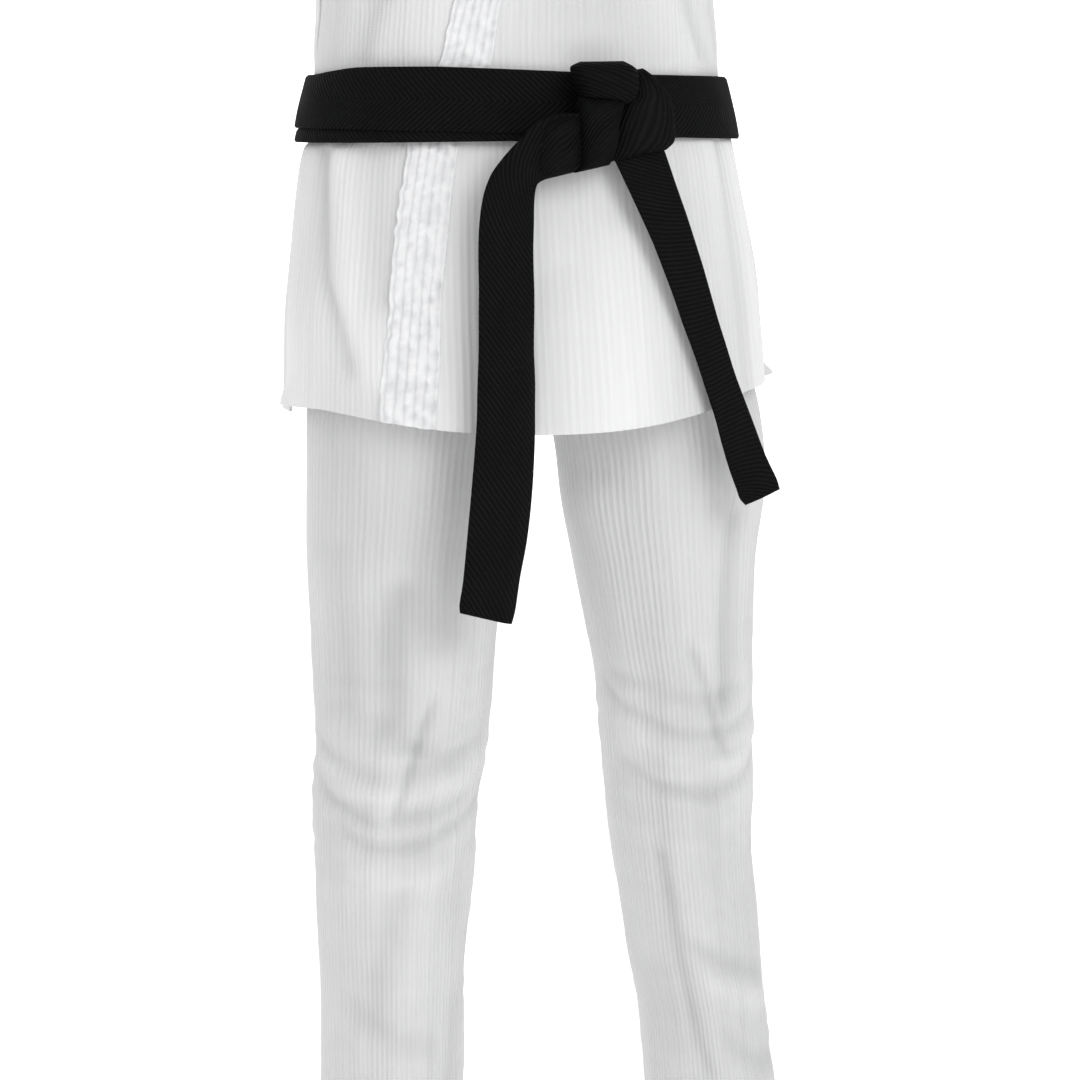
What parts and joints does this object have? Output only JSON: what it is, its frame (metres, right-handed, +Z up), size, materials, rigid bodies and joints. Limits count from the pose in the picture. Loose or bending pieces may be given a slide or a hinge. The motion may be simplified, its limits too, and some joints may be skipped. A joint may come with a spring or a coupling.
{
  "type": "martial arts uniform",
  "caption": "Karate uniform as worn: wrap-over jacket with quilted lapels, black belt tied at the waist with two hanging ends, and straight trousers.",
  "frame": {"origin": "centre of the wearer's waist at the middle of the belt's height", "axes": "+X to the wearer's left, +Y towards the back, +Z up"},
  "size_m": [1.2584, 0.2833, 1.3769],
  "materials": {
    "jacket_canvas": "matte ribbed cotton canvas, off white",
    "skirt_canvas": "matte ribbed cotton canvas, off white",
    "sleeve_canvas": "matte ribbed cotton canvas, off white",
    "lapel_quilting": "matte quilted band with rows of stitching, white",
    "facing_canvas": "matte cotton canvas, off white",
    "trouser_leg_canvas": "matte fine ribbed cotton canvas, off white",
    "trouser_seat_canvas": "matte fine ribbed cotton canvas, off white",
    "waistband_canvas": "matte cotton canvas, off white",
    "belt_inner_turn": "matte black cotton twill",
    "belt_outer_turn": "matte black cotton twill",
    "belt_knot": "matte black cotton twill",
    "belt_end_long": "matte black cotton twill",
    "belt_end_short": "matte black cotton twill",
    "eyelet_metal": "satin metal"
  },
  "bodies": {
    "torso": {"jacket_back": "jacket_canvas", "jacket_front_left": "jacket_canvas", "jacket_front_right": "jacket_canvas", "lapel_left": "lapel_quilting", "lapel_right": "lapel_quilting", "collar": "lapel_quilting", "sleeve_head_left": "sleeve_canvas", "sleeve_head_right": "sleeve_canvas", "skirt_front_left_fold": "skirt_canvas", "skirt_front_right_fold": "skirt_canvas", "lapel_left_fold": "lapel_quilting", "lapel_right_fold": "lapel_quilting", "skirt_back_fold": "skirt_canvas", "belt_inner_turn": "belt_inner_turn", "belt_outer_turn": "belt_outer_turn", "knot_wrap": "belt_knot", "knot_lobe_left": "belt_knot", "knot_lobe_right": "belt_knot", "belt_end_long_top": "belt_end_long", "belt_end_short_top": "belt_end_short", "trouser_waistband": "waistband_canvas", "drawstring_eyelet_left": "eyelet_metal", "drawstring_eyelet_right": "eyelet_metal", "trouser_seat_left": "trouser_seat_canvas", "trouser_seat_right": "trouser_seat_canvas", "crotch_gusset": "trouser_seat_canvas", "trouser_hip_left": "trouser_seat_canvas", "trouser_hip_right": "trouser_seat_canvas"},
    "skirt_front": {"skirt_front_left": "skirt_canvas", "skirt_front_right": "skirt_canvas", "lapel_lower_left": "lapel_quilting", "lapel_lower_right": "lapel_quilting"},
    "skirt_back": {"skirt_back": "skirt_canvas"},
    "belt_end_long": {"belt_end_long": "belt_end_long"},
    "belt_end_short": {"belt_end_short": "belt_end_short"},
    "thigh_left": {"trouser_thigh_left": "trouser_leg_canvas", "trouser_knee_left": "trouser_leg_canvas"},
    "shin_left": {"trouser_shin_left": "trouser_leg_canvas", "trouser_facing_left": "facing_canvas"},
    "sleeve_left": {"sleeve_upper_left": "sleeve_canvas", "sleeve_elbow_left": "sleeve_canvas"},
    "forearm_left": {"sleeve_fore_left": "sleeve_canvas", "sleeve_facing_left": "facing_canvas"},
    "thigh_right": {"trouser_thigh_right": "trouser_leg_canvas", "trouser_knee_right": "trouser_leg_canvas"},
    "shin_right": {"trouser_shin_right": "trouser_leg_canvas", "trouser_facing_right": "facing_canvas"},
    "sleeve_right": {"sleeve_upper_right": "sleeve_canvas", "sleeve_elbow_right": "sleeve_canvas"},
    "forearm_right": {"sleeve_fore_right": "sleeve_canvas", "sleeve_facing_right": "facing_canvas"}
  },
  "joints": [
    {"name": "skirt_front_lift", "type": "hinge", "parent": "torso", "child": "skirt_front", "pos_m": [0, -0.065, -0.03], "axis": [-1, 0, 0], "range_deg": [0, 25], "deforming": ["skirt_front_left_fold", "skirt_front_right_fold", "lapel_left_fold", "lapel_right_fold", "belt_end_long_top", "belt_end_short_top"]},
    {"name": "skirt_back_lift", "type": "hinge", "parent": "torso", "child": "skirt_back", "pos_m": [0, 0.065, -0.03], "axis": [1, 0, 0], "range_deg": [0, 30], "deforming": ["skirt_back_fold"]},
    {"name": "belt_end_long_swing", "type": "hinge", "parent": "skirt_front", "child": "belt_end_long", "pos_m": [-0.065, -0.14, -0.1155], "axis": [-1, 0, 0], "range_deg": [0, 60]},
    {"name": "belt_end_short_swing", "type": "hinge", "parent": "skirt_front", "child": "belt_end_short", "pos_m": [0.078, -0.124, -0.1062], "axis": [-1, 0, 0], "range_deg": [0, 60]},
    {"name": "hip_left", "type": "hinge", "parent": "torso", "child": "thigh_left", "pos_m": [0.098, 0, -0.217], "axis": [1, 0, 0], "range_deg": [-15, 20], "deforming": ["trouser_hip_left"]},
    {"name": "knee_left", "type": "hinge", "parent": "thigh_left", "child": "shin_left", "pos_m": [0.124, 0, -0.533], "axis": [1, 0, 0], "range_deg": [0, 90], "deforming": ["trouser_knee_left"]},
    {"name": "shoulder_left", "type": "hinge", "parent": "torso", "child": "sleeve_left", "pos_m": [0.19, 0, 0.304], "axis": [0, 1, 0], "range_deg": [-55, 40], "deforming": ["sleeve_head_left"]},
    {"name": "elbow_left", "type": "hinge", "parent": "sleeve_left", "child": "forearm_left", "pos_m": [0.46189, 0, 0.17721], "axis": [-0.4226, 0, -0.9063], "range_deg": [0, 90], "deforming": ["sleeve_elbow_left"]},
    {"name": "hip_right", "type": "hinge", "parent": "torso", "child": "thigh_right", "pos_m": [-0.092, 0, -0.217], "axis": [1, 0, 0], "range_deg": [-15, 20], "deforming": ["trouser_hip_right"]},
    {"name": "knee_right", "type": "hinge", "parent": "thigh_right", "child": "shin_right", "pos_m": [-0.119, 0, -0.533], "axis": [1, 0, 0], "range_deg": [0, 90], "deforming": ["trouser_knee_right"]},
    {"name": "shoulder_right", "type": "hinge", "parent": "torso", "child": "sleeve_right", "pos_m": [-0.19, 0, 0.304], "axis": [0, -1, 0], "range_deg": [-55, 40], "deforming": ["sleeve_head_right"]},
    {"name": "elbow_right", "type": "hinge", "parent": "sleeve_right", "child": "forearm_right", "pos_m": [-0.46189, 0, 0.17721], "axis": [-0.4226, 0, 0.9063], "range_deg": [0, 90], "deforming": ["sleeve_elbow_right"]}
  ]
}
